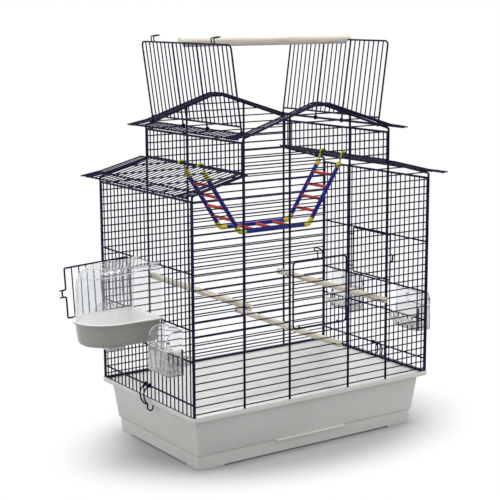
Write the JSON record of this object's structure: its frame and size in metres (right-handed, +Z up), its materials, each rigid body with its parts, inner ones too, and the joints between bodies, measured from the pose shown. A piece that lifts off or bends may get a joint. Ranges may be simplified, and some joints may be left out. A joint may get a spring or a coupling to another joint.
{
  "type": "bird cage",
  "caption": "House-shaped wire bird cage on a deep tray, with opening roof flaps, hinged doors, outside bath, hinged-lid feeders, wooden perches and a hanging ladder bridge.",
  "frame": {"origin": "the middle of the tray's flat underside, on the plane the cage stands on", "axes": "+X to the right as seen from the front, +Y from the front to the back, +Z up"},
  "size_m": [0.77, 0.3956, 0.8171],
  "materials": {
    "wire": "dark navy enamel, satin",
    "tray": "ivory, fine texture",
    "white_plastic": "white, smooth",
    "clear_plastic": "clear, moulded",
    "wood": "pale, unfinished, fine grain",
    "rail": "blue",
    "rung": "red",
    "fitting": "yellow"
  },
  "bodies": {
    "cage": {"tray": "tray", "front_panel": "wire", "back_panel": "wire", "left_side_panel": "wire", "right_side_panel": "wire", "left_tower_side": "wire", "right_tower_side": "wire", "left_lower_roof": "wire", "right_lower_roof": "wire", "upper_roof_frame": "wire", "left_perch": "wood", "middle_perch": "wood", "right_perch": "wood", "left_front_feeder_trough": "clear_plastic", "left_rear_feeder_trough": "clear_plastic", "right_front_feeder_trough": "clear_plastic", "right_rear_feeder_trough": "clear_plastic", "left_front_feeder_scoop": "white_plastic", "left_rear_feeder_scoop": "white_plastic", "right_front_feeder_scoop": "white_plastic", "right_rear_feeder_scoop": "white_plastic", "ladder_rail_left_front": "rail", "ladder_elbow_left_front": "fitting", "ladder_hook_left_front": "fitting", "ladder_rail_left_rear": "rail", "ladder_elbow_left_rear": "fitting", "ladder_hook_left_rear": "fitting", "ladder_rung_left_1": "rung", "ladder_rung_left_2": "rung", "ladder_rung_left_3": "rung", "ladder_rung_left_4": "rung", "ladder_rail_right_front": "rail", "ladder_elbow_right_front": "fitting", "ladder_hook_right_front": "fitting", "ladder_rail_right_rear": "rail", "ladder_elbow_right_rear": "fitting", "ladder_hook_right_rear": "fitting", "ladder_rung_right_1": "rung", "ladder_rung_right_2": "rung", "ladder_rung_right_3": "rung", "ladder_rung_right_4": "rung", "ladder_rail_middle_front": "rail", "ladder_rail_middle_rear": "rail", "ladder_rung_middle_1": "rung", "ladder_rung_middle_2": "rung", "ladder_rung_middle_3": "rung"},
    "left_roof_flap": {"left_roof_flap": "wire"},
    "right_roof_flap": {"right_roof_flap": "wire"},
    "top_perch": {"top_perch": "wood"},
    "left_door": {"left_door": "wire"},
    "right_door": {"right_door": "wire"},
    "front_door": {"front_door": "wire"},
    "bath": {"bath_basin": "white_plastic", "bath_hood": "clear_plastic"},
    "left_tray_clip": {"left_tray_clip": "wire"},
    "right_tray_clip": {"right_tray_clip": "wire"},
    "left_front_feeder_lid": {"left_front_feeder_lid": "clear_plastic"},
    "left_rear_feeder_lid": {"left_rear_feeder_lid": "clear_plastic"},
    "right_front_feeder_lid": {"right_front_feeder_lid": "clear_plastic"},
    "right_rear_feeder_lid": {"right_rear_feeder_lid": "clear_plastic"}
  },
  "joints": [
    {"name": "left_roof_flap_hinge", "type": "hinge", "parent": "cage", "child": "left_roof_flap", "pos_m": [-0.164, 0.004, 0.639], "axis": [0, -1, 0], "range_deg": [0, 75]},
    {"name": "right_roof_flap_hinge", "type": "hinge", "parent": "cage", "child": "right_roof_flap", "pos_m": [0.164, 0.004, 0.639], "axis": [0, 1, 0], "range_deg": [0, 75]},
    {"name": "top_perch_lift", "type": "slide", "parent": "cage", "child": "top_perch", "axis": [0, 0, 1], "range_m": [0, 0.12]},
    {"name": "left_door_hinge", "type": "hinge", "parent": "cage", "child": "left_door", "pos_m": [-0.285, 0.0592, 0.3366], "axis": [0, 0, -1], "range_deg": [-8, 15]},
    {"name": "right_door_hinge", "type": "hinge", "parent": "cage", "child": "right_door", "pos_m": [0.285, 0.074, 0.3366], "axis": [0, 0, 1], "range_deg": [0, 90]},
    {"name": "front_door_hinge", "type": "hinge", "parent": "cage", "child": "front_door", "pos_m": [0.00385, -0.176, 0.25465], "axis": [1, 0, 0], "range_deg": [0, 150]},
    {"name": "bath_slide", "type": "slide", "parent": "cage", "child": "bath", "axis": [-1, 0, 0], "range_m": [0, 0.06]},
    {"name": "left_tray_clip_hinge", "type": "hinge", "parent": "cage", "child": "left_tray_clip", "pos_m": [-0.2875, -0.0074, 0.1403], "axis": [0, 1, 0], "range_deg": [0, 110]},
    {"name": "right_tray_clip_hinge", "type": "hinge", "parent": "cage", "child": "right_tray_clip", "pos_m": [0.2875, -0.0074, 0.1403], "axis": [0, -1, 0], "range_deg": [0, 110]},
    {"name": "left_front_feeder_lid_hinge", "type": "hinge", "parent": "cage", "child": "left_front_feeder_lid", "pos_m": [-0.322, -0.11, 0.2587], "axis": [0, -1, 0], "range_deg": [0, 70]},
    {"name": "left_rear_feeder_lid_hinge", "type": "hinge", "parent": "cage", "child": "left_rear_feeder_lid", "pos_m": [-0.322, 0.115, 0.2587], "axis": [0, -1, 0], "range_deg": [0, 70]},
    {"name": "right_front_feeder_lid_hinge", "type": "hinge", "parent": "cage", "child": "right_front_feeder_lid", "pos_m": [0.322, -0.11, 0.2587], "axis": [0, 1, 0], "range_deg": [0, 70]},
    {"name": "right_rear_feeder_lid_hinge", "type": "hinge", "parent": "cage", "child": "right_rear_feeder_lid", "pos_m": [0.322, 0.115, 0.2587], "axis": [0, 1, 0], "range_deg": [0, 70]}
  ]
}
